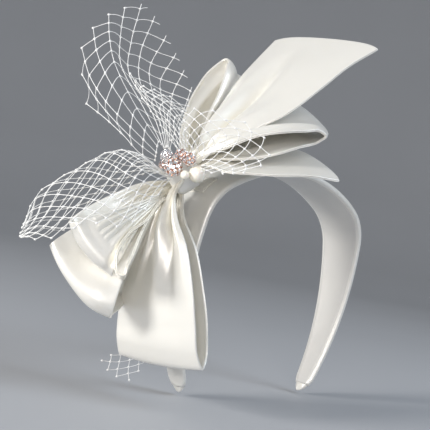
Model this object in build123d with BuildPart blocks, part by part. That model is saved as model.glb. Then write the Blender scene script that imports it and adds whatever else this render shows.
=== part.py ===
"""Satin headband with an off-centre bow, a birdcage-net veil and a cluster of beads.

Millimetres, +Z up. The band is an arch in the XZ plane, the wearer faces -Y, and the bow sits
on the -X shoulder. The origin is the crown of the lining, where the band rests on the head.
"""
from build123d import *
from math import cos, radians, sin
import os

os.makedirs("parts", exist_ok=True)

# ---- band: three tangent arcs each side, given for its outer face ----
BAND_THICKNESS = 4.0
COVER = 0.9
LINING = 0.8
LAYER_GAP = 0.05
CROWN_RADIUS = 108.0
CROWN_TURN = 32.0
SHOULDER_RADIUS = 34.0
SHOULDER_TURN = 50.0
ARM_RADIUS = 190.0
ARM_TURN = 32.0
CROWN_WIDTH = 40.0
HINGE_WIDTH = 34.0
TIP_WIDTH = 15.0
FLEX_GAP_TURN = 0.08          # degrees of arm left out at the flex line

# ---- bow ----
KNOT = Vector(-82.5, -4.0, -13.0)
RIBBON_WIDTH = 60.0
SATIN = 1.8                   # folded double satin
HUB_RADIUS = 11.0
HUB_HALF = 9.0
HUB_ROUND = 2.0
NECK_WIDTH = 12.0
NECK_HALF = 2.0
FIXED_NECK = 11.4             # where a sewn ribbon starts, from the knot's centre
MOVING_NECK = 14.0            # a ribbon that swings starts a little further out
HUB_AXIS = (0.33, 0.94, 0.03)
BOW_AXIS = (0.70, -0.27, 0.66)
THREAD = 0.7
WRAP_GAP = 0.95
WRAP = 1.2
WRAP_WIDTH = 10.0
BASE_INNER = 0.3
BASE_OUTER = 2.3

# ---- beads: centre from the knot's centre, and diameter ----
WIRE_RADIUS = 0.3
BORE_RADIUS = 0.35
WIRE_START = 12.5
BEADS = {
    "crystal_ball": ((-20.2, -6.4, 5.8), 8.0),
    "rhinestone_ball_large": ((-19.9, -13.8, -0.2), 10.5),
    "rhinestone_bead_small": ((-18.4, -1.8, 1.0), 5.0),
    "rhinestone_ball_upper": ((-15.0, -12.5, 7.6), 7.5),
    "rhinestone_ball_side": ((-14.8, -20.1, 5.8), 7.5),
    "pearl_small": ((-16.5, -20.6, -3.2), 5.0),
    "pearl_large": ((-9.3, -21.9, -1.4), 9.5),
}

# Centres of the band's arcs, and each arc's angles, on the +X side.
crown_centre = (0.0, BAND_THICKNESS - CROWN_RADIUS)
heading = radians(CROWN_TURN)
shoulder_reach = CROWN_RADIUS - SHOULDER_RADIUS
shoulder_centre = (
    shoulder_reach * sin(heading),
    crown_centre[1] + shoulder_reach * cos(heading),
)
hinge_turn = CROWN_TURN + SHOULDER_TURN
heading = radians(hinge_turn)
arm_reach = SHOULDER_RADIUS - ARM_RADIUS
arm_centre = (
    shoulder_centre[0] + arm_reach * sin(heading),
    shoulder_centre[1] + arm_reach * cos(heading),
)
hinge_x = shoulder_centre[0] + SHOULDER_RADIUS * sin(heading)
hinge_z = shoulder_centre[1] + SHOULDER_RADIUS * cos(heading)
tip_heading = radians(hinge_turn + ARM_TURN)
tip_z = arm_centre[1] + ARM_RADIUS * cos(tip_heading)


def save(piece, name):
    """Names a finished piece and writes its STEP file."""
    piece.part.label = name
    export_step(piece.part, f"parts/{name}.step")


def crown_arcs():
    """Centre, radius, first angle and sweep of the three arcs between the two flex lines."""
    x, z = shoulder_centre
    first = 90.0 - hinge_turn
    return [
        (crown_centre, CROWN_RADIUS, 90.0 - CROWN_TURN, 2.0 * CROWN_TURN),
        ((x, z), SHOULDER_RADIUS, first, SHOULDER_TURN),
        ((-x, z), SHOULDER_RADIUS, 90.0 + CROWN_TURN, SHOULDER_TURN),
    ]


def arm_arc(side):
    """The same for one arm; side is +1 or -1 along X."""
    x, z = arm_centre
    sweep = ARM_TURN - FLEX_GAP_TURN
    first = 90.0 - hinge_turn - ARM_TURN
    if side < 0:
        first = 90.0 + hinge_turn + FLEX_GAP_TURN
    return [((side * x, z), ARM_RADIUS, first, sweep)]


def band_outline(width_cut):
    """Half widths of the band from crown to tip, as points in the YZ plane."""
    top = BAND_THICKNESS + 1.0
    shoulder_z = -8.0
    half = [
        (CROWN_WIDTH / 2 - width_cut, top),
        (CROWN_WIDTH / 2 - width_cut, shoulder_z),
        (HINGE_WIDTH / 2 - width_cut, hinge_z),
        (TIP_WIDTH / 2 - width_cut, tip_z + 4.0),
        (TIP_WIDTH / 2 - 3.0 - width_cut, tip_z - 3.0),
    ]
    return half + [(-y, z) for y, z in reversed(half)]


def band_layer(name, arcs, outer, inner, width_cut):
    """One layer of the band: its arcs as curved strips, trimmed to the tapering width."""
    with BuildPart() as layer:
        for centre, radius, first, sweep in arcs:
            with BuildSketch(Plane.XZ):
                with BuildLine():
                    far = CenterArc(centre, radius - outer, first, sweep)
                    near = CenterArc(centre, radius - inner, first, sweep)
                    Line(far @ 0, near @ 0)
                    Line(far @ 1, near @ 1)
                make_face()
            extrude(amount=CROWN_WIDTH / 2, both=True)
        with BuildSketch(Plane.YZ):
            with BuildLine():
                Polyline(*band_outline(width_cut), close=True)
            make_face()
        extrude(amount=CROWN_RADIUS, both=True, mode=Mode.INTERSECT)
    save(layer, name)


def band_section(suffix, arcs):
    """Satin cover, moulded core and lining of one section of the band."""
    core_out = COVER + LAYER_GAP
    core_in = BAND_THICKNESS - LINING - LAYER_GAP
    band_layer(f"cover_{suffix}", arcs, 0.0, COVER, 0.0)
    band_layer(f"core_{suffix}", arcs, core_out, core_in, 1.2)
    band_layer(f"lining_{suffix}", arcs, BAND_THICKNESS - LINING, BAND_THICKNESS, 0.6)


def tip_fold(name, side):
    """The satin folded over the end of an arm and glued: a small pointed pocket past the tip."""
    x, z = arm_centre
    first = 90.0 - hinge_turn - ARM_TURN
    sweep = 1.6
    start = first - sweep - 0.03
    if side < 0:
        start = 180.0 - first + 0.03
    with BuildPart() as fold:
        with BuildSketch(Plane.XZ):
            with BuildLine():
                far = CenterArc((side * x, z), ARM_RADIUS - 0.4, start, sweep)
                near = CenterArc((side * x, z), ARM_RADIUS - 3.6, start, sweep)
                Line(far @ 0, near @ 0)
                Line(far @ 1, near @ 1)
            make_face()
        extrude(amount=4.2, both=True)
    save(fold, name)


def bow_base():
    """Stiff felt pad, curved to the shoulder, that the bow is sewn to."""
    x, z = shoulder_centre
    with BuildPart() as pad:
        with BuildSketch(Plane.XZ):
            with BuildLine():
                far = CenterArc((-x, z), SHOULDER_RADIUS + BASE_OUTER, 128.0, 38.0)
                near = CenterArc((-x, z), SHOULDER_RADIUS + BASE_INNER, 128.0, 38.0)
                Line(far @ 0, near @ 0)
                Line(far @ 1, near @ 1)
            make_face()
        extrude(amount=13.0, both=True)
    save(pad, "bow_base")


def tack_stitches():
    """Short thread bars on the lining that hold the bow's base to the band."""
    x, z = shoulder_centre
    reach = SHOULDER_RADIUS - BAND_THICKNESS - THREAD / 2 - LAYER_GAP
    with BuildPart() as stitches:
        for turn in (134.0, 147.0, 160.0):
            angle = radians(turn)
            spot = (-x + reach * cos(angle), 0.0, z + reach * sin(angle))
            for offset in (-9.0, 9.0):
                place = Plane(origin=(spot[0], offset, spot[2]), z_dir=(0, 1, 0))
                with BuildSketch(place):
                    Circle(THREAD / 2)
                extrude(amount=2.5, both=True)
    save(stitches, "tack_stitches")


# ---- the knot ----
hub_plane = Plane(origin=KNOT, x_dir=BOW_AXIS, z_dir=HUB_AXIS)
wrap_plane = Plane(origin=KNOT, x_dir=HUB_AXIS, z_dir=hub_plane.x_dir)


def bow_gather():
    """The gathered middles of all the ribbons, as one round bundle."""
    with BuildPart() as gather:
        with BuildSketch(hub_plane):
            Circle(HUB_RADIUS)
        extrude(amount=HUB_HALF, both=True)
        fillet(gather.edges().filter_by(GeomType.CIRCLE), radius=HUB_ROUND)
    save(gather, "bow_gather")


def ring(plane, gap, thickness, width):
    """Sketches a closed strap round the bundle on plane, and extrudes it to its width."""
    outer = gap + thickness
    with BuildPart() as strap:
        with BuildSketch(plane):
            RectangleRounded(
                2 * (HUB_HALF + outer), 2 * (HUB_RADIUS + outer), HUB_ROUND + outer
            )
            RectangleRounded(
                2 * (HUB_HALF + gap), 2 * (HUB_RADIUS + gap), HUB_ROUND + gap, mode=Mode.SUBTRACT
            )
        extrude(amount=width / 2, both=True)
    return strap.part


def gather_thread():
    """Three turns of thread that pull the ribbons together under the wrap."""
    with BuildPart() as thread:
        for step in (-2.2, 0.0, 2.2):
            add(ring(wrap_plane.offset(step), 0.1, THREAD, THREAD))
    save(thread, "gather_thread")


def knot_wrap():
    """Satin strip wound over the thread, across the middle of the bow."""
    with BuildPart() as wrap:
        add(ring(wrap_plane, WRAP_GAP, WRAP, WRAP_WIDTH))
    save(wrap, "knot_wrap")


# ---- ribbons ----
def ribbon_planes(run, across):
    """Side plane (x along the ribbon, y off its face) and face plane (y across the ribbon)."""
    run = Vector(*run).normalized()
    face = run.cross(Vector(*across)).normalized()
    side = Plane(origin=KNOT, x_dir=run, z_dir=run.cross(face))
    front = Plane(origin=KNOT, x_dir=run, z_dir=face)
    return side, front


def fan_points(neck, flare, near, far, flare_half):
    """Outline of a ribbon seen face on: a narrow neck, a flare, then the two end corners."""
    half = RIBBON_WIDTH / 2
    return [
        (neck, -NECK_WIDTH / 2),
        (flare, -flare_half),
        (near, -half),
        (far, half),
        (flare, flare_half),
        (neck, NECK_WIDTH / 2),
    ]


def ribbon_loop(name, run, across, neck, bulges, flare, flare_half, length):
    """A ribbon loop: rounded discs joined by tangents, hollow, and fan-shaped face on."""
    side, front = ribbon_planes(run, across)
    with BuildPart() as loop:
        with BuildSketch(side):
            for x, y, radius in bulges:
                with Locations((x, y)):
                    Circle(radius)
            with Locations((neck, 0)):
                Circle(NECK_HALF)
            make_hull()
        extrude(amount=RIBBON_WIDTH / 2, both=True)
        with BuildSketch(side):
            for x, y, radius in bulges:
                with Locations((x, y)):
                    Circle(radius - SATIN)
            with Locations((neck + 10.0, 0)):
                Circle(0.4)
            make_hull()
        extrude(amount=RIBBON_WIDTH / 2, both=True, mode=Mode.SUBTRACT)
        with BuildSketch(front):
            with BuildLine():
                points = fan_points(neck, flare, length + 1, length + 1, flare_half)
                Polyline(*points, close=True)
            make_face()
        extrude(amount=RIBBON_WIDTH, both=True, mode=Mode.INTERSECT)
        with BuildSketch(hub_plane):
            Circle(neck)
        extrude(amount=HUB_HALF + 3.0, both=True, mode=Mode.SUBTRACT)
    save(loop, name)


def ribbon_tail(name, run, across, neck, flare, flare_half, near, far):
    """A flat double-layer ribbon end, cut on the slant."""
    _, front = ribbon_planes(run, across)
    with BuildPart() as tail:
        with BuildSketch(front):
            with BuildLine():
                Polyline(*fan_points(neck, flare, near, far, flare_half), close=True)
            make_face()
        extrude(amount=SATIN / 2, both=True)
        with BuildSketch(hub_plane):
            Circle(neck)
        extrude(amount=HUB_HALF + 3.0, both=True, mode=Mode.SUBTRACT)
    save(tail, name)


def ribbons():
    """The bow: four loops and two slanted ends, fanned round the knot."""
    ribbon_loop(
        "upper_back_loop",
        run=(0.12, -0.08, 0.99),
        across=(0.56, 0.83, 0.0),
        neck=FIXED_NECK,
        bulges=[(40.0, 0.0, 7.0), (66.0, 0.0, 3.0)],
        flare=46.0,
        flare_half=26.0,
        length=69.0,
    )
    ribbon_loop(
        "right_upper_loop",
        run=(0.75, -0.40, 0.50),
        across=(0.30, 0.92, 0.26),
        neck=FIXED_NECK,
        bulges=[(50.0, 0.0, 7.5), (76.0, 0.0, 4.0)],
        flare=52.0,
        flare_half=25.0,
        length=80.0,
    )
    ribbon_loop(
        "left_loop",
        run=(-0.62, 0.23, -0.75),
        across=(0.45, 0.83, -0.33),
        neck=FIXED_NECK,
        bulges=[(76.0, -20.0, 3.0), (77.0, 20.0, 3.0)],
        flare=50.0,
        flare_half=26.0,
        length=80.0,
    )
    ribbon_loop(
        "front_loop",
        run=(-0.07, -0.13, -0.99),
        across=(-0.24, 0.96, -0.11),
        neck=MOVING_NECK,
        bulges=[(50.0, 0.0, 6.0), (110.0, 0.0, 3.5)],
        flare=70.0,
        flare_half=26.0,
        length=113.5,
    )
    ribbon_tail(
        "upper_tail",
        run=(0.57, -0.22, 0.79),
        across=(0.01, 0.96, 0.26),
        neck=MOVING_NECK,
        flare=60.0,
        flare_half=24.0,
        near=134.0,
        far=108.0,
    )
    ribbon_tail(
        "right_lower_tail",
        run=(0.83, -0.50, 0.22),
        across=(0.42, 0.85, 0.33),
        neck=FIXED_NECK,
        flare=50.0,
        flare_half=24.0,
        near=86.0,
        far=68.0,
    )


# ---- net veil, as thin fans that face the same way ----
VEIL_RIGHT = (0.70, -0.69, 0.18)
VEIL_FACE = (-0.707, -0.707, 0.026)
VEIL_THICKNESS = 2.0


def veil(name, forward, points):
    """A fan of net, forward of the knot's centre; points run along and up from the knot."""
    origin = KNOT + Vector(*VEIL_FACE).normalized() * forward
    with BuildPart() as net:
        with BuildSketch(Plane(origin=origin, x_dir=VEIL_RIGHT, z_dir=VEIL_FACE)):
            with BuildLine():
                Polyline(*points, close=True)
            make_face()
        extrude(amount=VEIL_THICKNESS / 2, both=True)
    save(net, name)


def veils():
    """Two free puffs to the left, one over the right loops, and a strip behind the bow."""
    veil(
        "veil_upper_puff",
        4.0,
        [(-4, 14), (-10, 11), (-67, 45), (-72, 64), (-60, 94), (-40, 106), (-27, 104), (-12, 74)],
    )
    veil(
        "veil_left_puff",
        14.0,
        [(-16, 4), (-47, 16), (-75, 0), (-98, -16), (-106, -32), (-92, -36), (-60, -14), (-18, -4)],
    )
    veil(
        "veil_right_puff",
        32.0,
        [(14, 2), (12, 20), (16, 40), (30, 38), (46, 24), (50, 10), (42, 0), (24, -4)],
    )
    veil(
        "veil_strip",
        -22.0,
        [(-22, -18), (-44, -80), (-60, -116), (-54, -124), (-44, -122), (-36, -78), (-16, -22)],
    )


def bead_wires():
    """A wire through each bead, from the knot to a small turned-over end."""
    with BuildPart() as wires:
        for (x, y, z), diameter in BEADS.values():
            reach = Vector(x, y, z)
            line = reach.normalized()
            far = reach.length + diameter / 2 + 0.6
            with BuildSketch(Plane(origin=KNOT + line * WIRE_START, z_dir=line)):
                Circle(WIRE_RADIUS)
            extrude(amount=far - WIRE_START)
            with BuildSketch(Plane(origin=KNOT + line * far, z_dir=line)):
                Circle(2 * WIRE_RADIUS)
            extrude(amount=2 * WIRE_RADIUS)
    save(wires, "bead_wires")


def bead(name, place, diameter):
    """One drilled bead, free to turn on its wire."""
    reach = Vector(*place)
    with BuildPart() as ball:
        with Locations(KNOT + reach):
            Sphere(diameter / 2)
        with BuildSketch(Plane(origin=KNOT + reach, z_dir=reach.normalized())):
            Circle(BORE_RADIUS)
        extrude(amount=diameter, both=True, mode=Mode.SUBTRACT)
    save(ball, name)


band_section("crown", crown_arcs())
band_section("left_arm", arm_arc(-1))
band_section("right_arm", arm_arc(1))
tip_fold("tip_fold_left", -1)
tip_fold("tip_fold_right", 1)
bow_base()
tack_stitches()
bow_gather()
gather_thread()
knot_wrap()
ribbons()
veils()
bead_wires()
for bead_name, (bead_place, bead_diameter) in BEADS.items():
    bead(bead_name, bead_place, bead_diameter)
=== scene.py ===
"""Looks of the satin headband: folded ribbons, net veil, pearls and pave balls round the CAD frame.

Millimetres in the row frame, scaled by MM where meshes are made. Ribbon and net points are
offsets from the knot's centre; each pair of rim lists runs from the knot out, and in a loop back.
"""
from math import cos, pi, radians, sin, sqrt, tau

import bpy
import numpy as np
from mathutils import Matrix, Vector


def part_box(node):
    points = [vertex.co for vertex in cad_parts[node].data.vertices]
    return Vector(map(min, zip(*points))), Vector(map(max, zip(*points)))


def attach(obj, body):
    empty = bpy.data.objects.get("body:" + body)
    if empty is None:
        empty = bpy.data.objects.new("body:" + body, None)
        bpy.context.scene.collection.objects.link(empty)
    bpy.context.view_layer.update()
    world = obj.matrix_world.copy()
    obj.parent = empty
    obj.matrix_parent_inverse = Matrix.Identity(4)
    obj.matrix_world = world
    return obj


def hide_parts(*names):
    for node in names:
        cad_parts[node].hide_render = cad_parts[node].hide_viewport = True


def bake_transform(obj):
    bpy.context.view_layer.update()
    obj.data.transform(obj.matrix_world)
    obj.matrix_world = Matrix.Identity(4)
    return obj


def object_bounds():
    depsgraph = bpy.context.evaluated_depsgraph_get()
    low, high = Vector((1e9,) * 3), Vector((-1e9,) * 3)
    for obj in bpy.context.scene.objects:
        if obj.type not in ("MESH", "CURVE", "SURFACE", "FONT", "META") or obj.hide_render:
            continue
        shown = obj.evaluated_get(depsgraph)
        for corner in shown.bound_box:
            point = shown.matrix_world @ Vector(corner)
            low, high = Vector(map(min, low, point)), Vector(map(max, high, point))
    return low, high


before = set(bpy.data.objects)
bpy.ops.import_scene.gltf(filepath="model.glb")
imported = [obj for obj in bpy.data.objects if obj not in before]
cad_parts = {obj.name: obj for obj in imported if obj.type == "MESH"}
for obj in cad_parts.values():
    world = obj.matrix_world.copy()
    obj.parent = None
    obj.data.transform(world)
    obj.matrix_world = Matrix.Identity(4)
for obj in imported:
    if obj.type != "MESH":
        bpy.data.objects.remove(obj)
cad_low, cad_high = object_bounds()
MM = 0.001

# ---- driving dimensions, as in the CAD source ----
BAND_THICKNESS = 4.0
CROWN_RADIUS = 108.0
CROWN_TURN = 32.0
SHOULDER_RADIUS = 34.0
SHOULDER_TURN = 50.0
ARM_RADIUS = 190.0
ARM_TURN = 32.0
CROWN_WIDTH = 40.0
HINGE_WIDTH = 34.0
TIP_WIDTH = 15.0
KNOT = np.array((-82.5, -4.0, -13.0))
HUB_HALF = 9.0
HUB_AXIS = np.array((0.33, 0.94, 0.03))
BOW_AXIS = np.array((0.70, -0.27, 0.66))
RIBBON_WIDTH = 60.0

# ---- runs of the two hinged ribbons from the knot: body, direction, first and last reach of the bend ----
FRONT_SWING = ("front_loop", np.array((-0.07, -0.13, -0.99)), 8.0, 34.0)
TAIL_SWING = ("upper_tail", np.array((0.57, -0.22, 0.79)), 8.0, 32.0)

# ---- smaller than in the CAD source, so that the bow hides them ----
WRAP_RADIUS = 8.6
PAD_WIDTH = 14.0
PAD_LENGTH = 13.0
PAD_MIDDLE = 2.0              # shift of the pad along Y

# ---- cloth, thread and net ----
LEFT_PLY_WIDTH = 40.0         # the flatter of the two loops on the left
CURL_WIDTH = 11.0             # the narrow curl in front of them
RIBBON_HALF = 0.75            # half the thickness of a ribbon's two layers
COVER_HALF = 0.4
LINING_HALF = 0.32
WRAP_HALF = 0.5
FELT_HALF = 0.6
SEAM_DEPTH = 0.8              # groove between the two layers at a ribbon's edge, in half thicknesses
PLEAT_ROOM = 26.0             # distance between the rims at which pleats have their full height
GATHER_LIMIT = 3.0            # height of the tallest gathers
SHADE_REACH = 24.0            # distance between the rims over which the painted creamy shade in hollows fades
STITCH_RADIUS = 0.2
BINDING_RADIUS = 0.3
BINDING_TURNS = 3
THREAD_RADIUS = 0.20
NET_KNOT_RADIUS = 0.62
THREAD_STUB = 0.45            # length of a cut thread's end, in cells

# ---- view ----
VIEW_AIM = (0.0, 0.0, -56.0)
VIEW_AZIMUTH = -45.0
VIEW_ELEVATION = 1.5
VIEW_ROLL = 10.3
VIEW_DISTANCE = 520.0
VIEW_LENS = 66.17
VIEW_SHIFT = (-0.122, 0.104)


# ---- numbers ----
def unit(v):
    """Vectors along the last axis, scaled to length one."""
    length = np.linalg.norm(v, axis=-1, keepdims=True)
    return v / np.maximum(length, 1e-12)


def ease(x):
    """Smooth step from 0 to 1."""
    x = np.clip(x, 0.0, 1.0)
    return x * x * (3.0 - 2.0 * x)


def through(points, knots, at):
    """Points at the parameters `at` of a smooth curve through `points` at the parameters `knots`."""
    p = np.array(points, float)
    gap = np.diff(knots)
    slope = np.diff(p, axis=0) / gap[:, None]
    inner = (slope[:-1] * gap[1:, None] + slope[1:] * gap[:-1, None]) / (gap[1:] + gap[:-1])[:, None]
    tangent = np.vstack([slope[:1], inner, slope[-1:]])
    at = np.asarray(at, float)
    i = np.clip(np.searchsorted(knots, at, side="right") - 1, 0, len(gap) - 1)
    s = ((at - knots[i]) / gap[i])[:, None]
    reach = gap[i][:, None]
    return (
        p[i] * (2 * s**3 - 3 * s**2 + 1)
        + p[i + 1] * (3 * s**2 - 2 * s**3)
        + tangent[i] * reach * (s**3 - 2 * s**2 + s)
        + tangent[i + 1] * reach * (s**3 - s**2)
    )


def steps(points):
    """Running length of a line of points."""
    lengths = np.linalg.norm(np.diff(points, axis=0), axis=1)
    return np.concatenate([[0.0], np.cumsum(lengths)])


# ---- materials ----
def colour(r, g, b):
    """An opaque colour."""
    return (r, g, b, 1.0)


def dimmed(base, share):
    """A colour scaled to a share of its brightness."""
    return tuple(share * c for c in base[:3]) + (1.0,)


def start_material(name, base, roughness, **sockets):
    """A material with its Principled shader, whose constant sockets are set directly."""
    material = bpy.data.materials.new(name)
    material.use_nodes = True
    tree = material.node_tree
    shader = tree.nodes["Principled BSDF"]
    shader.inputs["Base Color"].default_value = base
    shader.inputs["Roughness"].default_value = roughness
    for socket, value in sockets.items():
        shader.inputs[socket.replace("_", " ")].default_value = value
    return material, tree, shader


def scaled_position(tree, source, scale):
    """Coordinates from `source` stretched by `scale`."""
    mapping = tree.nodes.new("ShaderNodeMapping")
    mapping.inputs["Scale"].default_value = scale
    tree.links.new(source, mapping.inputs["Vector"])
    return mapping.outputs["Vector"]


def object_place(tree):
    """Coordinates in the object's own metres."""
    return tree.nodes.new("ShaderNodeTexCoord").outputs["Object"]


def noise(tree, vector, scale, detail):
    """Soft noise along the coordinates."""
    texture = tree.nodes.new("ShaderNodeTexNoise")
    texture.inputs["Scale"].default_value = scale
    texture.inputs["Detail"].default_value = detail
    tree.links.new(vector, texture.inputs["Vector"])
    return texture.outputs["Fac"]


def ramp(tree, value, low, high, to_low=0.0, to_high=1.0):
    """Maps a value from low..high to 0..1, or to another span."""
    spread = tree.nodes.new("ShaderNodeMapRange")
    spread.inputs["From Min"].default_value = low
    spread.inputs["From Max"].default_value = high
    spread.inputs["To Min"].default_value = to_low
    spread.inputs["To Max"].default_value = to_high
    tree.links.new(value, spread.inputs["Value"])
    return spread.outputs["Result"]


# A mix node's colour sockets share their names with its other sockets, so they go by number.
COLOUR_A, COLOUR_B, COLOUR_RESULT = 6, 7, 2


def mix_colours(tree, factor, first, second):
    """Mixes two colours, each a tuple or a socket, by a socket."""
    mix = tree.nodes.new("ShaderNodeMix")
    mix.data_type = "RGBA"
    tree.links.new(factor, mix.inputs["Factor"])
    for socket, value in ((mix.inputs[COLOUR_A], first), (mix.inputs[COLOUR_B], second)):
        if isinstance(value, tuple):
            socket.default_value = value
        else:
            tree.links.new(value, socket)
    return mix.outputs[COLOUR_RESULT]


def paint(tree, shader, factor, first, second):
    """Gives a shader a base colour mixed from two."""
    tree.links.new(mix_colours(tree, factor, first, second), shader.inputs["Base Color"])


def bump(tree, shader, height, strength, distance, before=None):
    """Adds a bump, in metres, on top of an earlier one, and feeds the shader."""
    node = tree.nodes.new("ShaderNodeBump")
    node.inputs["Strength"].default_value = strength
    node.inputs["Distance"].default_value = distance
    tree.links.new(height, node.inputs["Height"])
    if before is not None:
        tree.links.new(before, node.inputs["Normal"])
    tree.links.new(node.outputs["Normal"], shader.inputs["Normal"])
    return node.outputs["Normal"]


def satin(name, light, shade, roughness, weave):
    """Heavy duchess satin: fine warp ribs, faint slubs and soft waves, with a painted creamy shade in its
    hollows.
    """
    material, tree, shader = start_material(
        name,
        light,
        roughness,
        Metallic=0.32,
        Specular_IOR_Level=0.6,
        Sheen_Weight=0.15,
        Sheen_Roughness=0.4,
        Coat_Weight=0.12,
        Coat_Roughness=0.28,
        Subsurface_Weight=0.3,
        Subsurface_Radius=(1.0, 0.95, 0.86),
        Subsurface_Scale=0.003,
    )
    cloth = tree.nodes.new("ShaderNodeUVMap")
    cloth.uv_map = "cloth"
    hollow = tree.nodes.new("ShaderNodeAttribute")
    hollow.attribute_name = "hollow"
    place = object_place(tree)
    patch = ramp(tree, noise(tree, place, 28.0, 2.0), 0.3, 0.7)
    tint = mix_colours(tree, patch, light, dimmed(light, 0.97))
    # painted shade: the hollow mask mixes the creamy shade colour into the base, for warm bounce light in
    # the folds
    paint(tree, shader, hollow.outputs["Fac"], tint, shade)
    ribs = tree.nodes.new("ShaderNodeTexWave")
    ribs.bands_direction = "Y"
    ribs.inputs["Scale"].default_value = 620.0
    ribs.inputs["Distortion"].default_value = 0.6
    ribs.inputs["Detail"].default_value = 1.0
    tree.links.new(cloth.outputs["UV"], ribs.inputs["Vector"])
    slubs = noise(tree, scaled_position(tree, cloth.outputs["UV"], (60.0, 1400.0, 1.0)), 1.0, 2.0)
    waves = noise(tree, place, 45.0, 1.0)
    normal = bump(tree, shader, waves, 0.25, 0.0006)
    normal = bump(tree, shader, slubs, 0.12, 0.00012, normal)
    bump(tree, shader, ribs.outputs["Fac"], weave, 0.00005, normal)
    dullness = ramp(tree, slubs, 0.2, 0.8, roughness - 0.04, roughness + 0.05)
    tree.links.new(dullness, shader.inputs["Roughness"])
    return material


def fibre(name, base, roughness, scale, depth, **sockets):
    """Thread, felt or moulded plastic: one colour broken up by a fine grain."""
    material, tree, shader = start_material(name, base, roughness, **sockets)
    grain = noise(tree, object_place(tree), scale, 4.0)
    paint(tree, shader, ramp(tree, grain, 0.35, 0.65), base, dimmed(base, 0.86))
    bump(tree, shader, grain, 0.5, depth)
    return material


def metal(name, base, roughness):
    """Plated metal with fine rubbed marks."""
    material, tree, shader = start_material(name, base, roughness, Metallic=1.0)
    rub = noise(tree, object_place(tree), 900.0, 3.0)
    paint(tree, shader, ramp(tree, rub, 0.4, 0.8), base, dimmed(base, 0.8))
    bump(tree, shader, rub, 0.2, 0.00004)
    return material


def pearl_coat():
    """Nacre: a cream body with faint pink patches under a clear glossy skin, with a painted yellow glow at
    the rim.
    """
    material, tree, shader = start_material(
        "nacre",
        colour(0.90, 0.86, 0.76),
        0.22,
        Specular_IOR_Level=0.6,
        Coat_Weight=0.7,
        Coat_Roughness=0.06,
        Sheen_Weight=0.25,
        Subsurface_Weight=0.10,
        Subsurface_Scale=0.002,
    )
    place = object_place(tree)
    patch = ramp(tree, noise(tree, place, 160.0, 1.5), 0.35, 0.65)
    cream = mix_colours(tree, patch, colour(0.92, 0.87, 0.77), colour(0.90, 0.84, 0.80))
    # painted glow: the rim turned away from the eye is yellower, standing in for light shining through the
    # pearl's edge
    rim = tree.nodes.new("ShaderNodeLayerWeight")
    rim.inputs["Blend"].default_value = 0.35
    paint(tree, shader, rim.outputs["Facing"], cream, colour(0.84, 0.80, 0.62))
    bump(tree, shader, noise(tree, place, 700.0, 2.0), 0.15, 0.00003)
    return material


def cut_crystal():
    """Foil-backed cut crystal, with painted fire: a pink flush in some facets standing in for coloured
    flashes of light.
    """
    clear = colour(0.92, 0.93, 0.96)
    material, tree, shader = start_material(
        "cut_stone", clear, 0.06, IOR=1.65, Metallic=0.85, Specular_IOR_Level=0.8
    )
    # painted fire: noise turns some facets pink, standing in for dispersed coloured light
    painted_fire = noise(tree, object_place(tree), 520.0, 1.0)
    paint(tree, shader, ramp(tree, painted_fire, 0.5, 0.72), clear, colour(0.96, 0.80, 0.74))
    return material


IVORY = colour(0.87, 0.85, 0.79)
# painted shade: the creamy colour mixed into the satin's hollows, standing in for warm bounce light in the
# folds
PAINTED_CREASE_SHADE = colour(0.80, 0.74, 0.55)
bow_satin = satin("bow_satin", IVORY, PAINTED_CREASE_SHADE, 0.34, 0.25)
band_satin = satin("band_satin", IVORY, PAINTED_CREASE_SHADE, 0.36, 0.25)
# painted shade: the lining's colours are darker, greyer copies of the cover's ivory, standing in for the
# shade inside the band
lining_satin = satin("lining_satin", colour(0.74, 0.72, 0.68), colour(0.60, 0.57, 0.50), 0.50, 0.35)
net_thread = fibre("net_thread", colour(0.90, 0.90, 0.88), 0.42, 2200.0, 0.00006, Sheen_Weight=0.3)
sewing_thread = fibre("sewing_thread", colour(0.86, 0.83, 0.75), 0.55, 3000.0, 0.0001, Sheen_Weight=0.3)
felt = fibre("felt", colour(0.86, 0.84, 0.77), 0.95, 1400.0, 0.0004, Sheen_Weight=0.5)
plastic = fibre("band_plastic", colour(0.78, 0.78, 0.74), 0.45, 600.0, 0.00003)
gold = metal("gold_wire", colour(0.80, 0.58, 0.38), 0.22)
rose_gold = metal("rose_gold", colour(0.84, 0.50, 0.36), 0.20)
silver = metal("silver", colour(0.86, 0.86, 0.86), 0.20)
nacre = pearl_coat()
cut_stone = cut_crystal()


# ---- meshes ----
def ring_faces(rows, count, start=0):
    """Quads between rings of points that follow one another."""
    faces = []
    for i in range(rows - 1):
        for j in range(count):
            a, b = start + i * count + j, start + i * count + (j + 1) % count
            faces.append((a, b, b + count, a + count))
    return faces


def new_piece(name, vertices, faces, material, smooth=True):
    """A mesh object from points in millimetres."""
    mesh = bpy.data.meshes.new(name)
    mesh.from_pydata((np.asarray(vertices, float) * MM).tolist(), [], faces)
    mesh.polygons.foreach_set("use_smooth", [smooth] * len(mesh.polygons))
    mesh.materials.append(material)
    mesh.update()
    piece = bpy.data.objects.new(name, mesh)
    bpy.context.scene.collection.objects.link(piece)
    return piece


def stand_in(piece, body, node):
    """Makes a piece ride on a body in place of a CAD node, and hides that node."""
    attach(piece, body)
    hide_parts(node)


def tag_cloth(piece, length, width, hollow):
    """Gives each vertex its place on the flat cloth, in metres, and how deep in a fold it lies."""
    mesh = piece.data
    # the fold depth sets how much painted crease shade the satin shows
    attribute = mesh.attributes.new("hollow", "FLOAT", "POINT")
    attribute.data.foreach_set("value", np.clip(hollow, 0.0, 1.0).astype(np.float32))
    layer = mesh.uv_layers.new(name="cloth")
    corner = np.zeros(len(mesh.loops), int)
    mesh.loops.foreach_get("vertex_index", corner)
    flat = np.stack([length[corner], width[corner]], axis=1) * MM
    layer.data.foreach_set("uv", flat.astype(np.float32).ravel())


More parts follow.
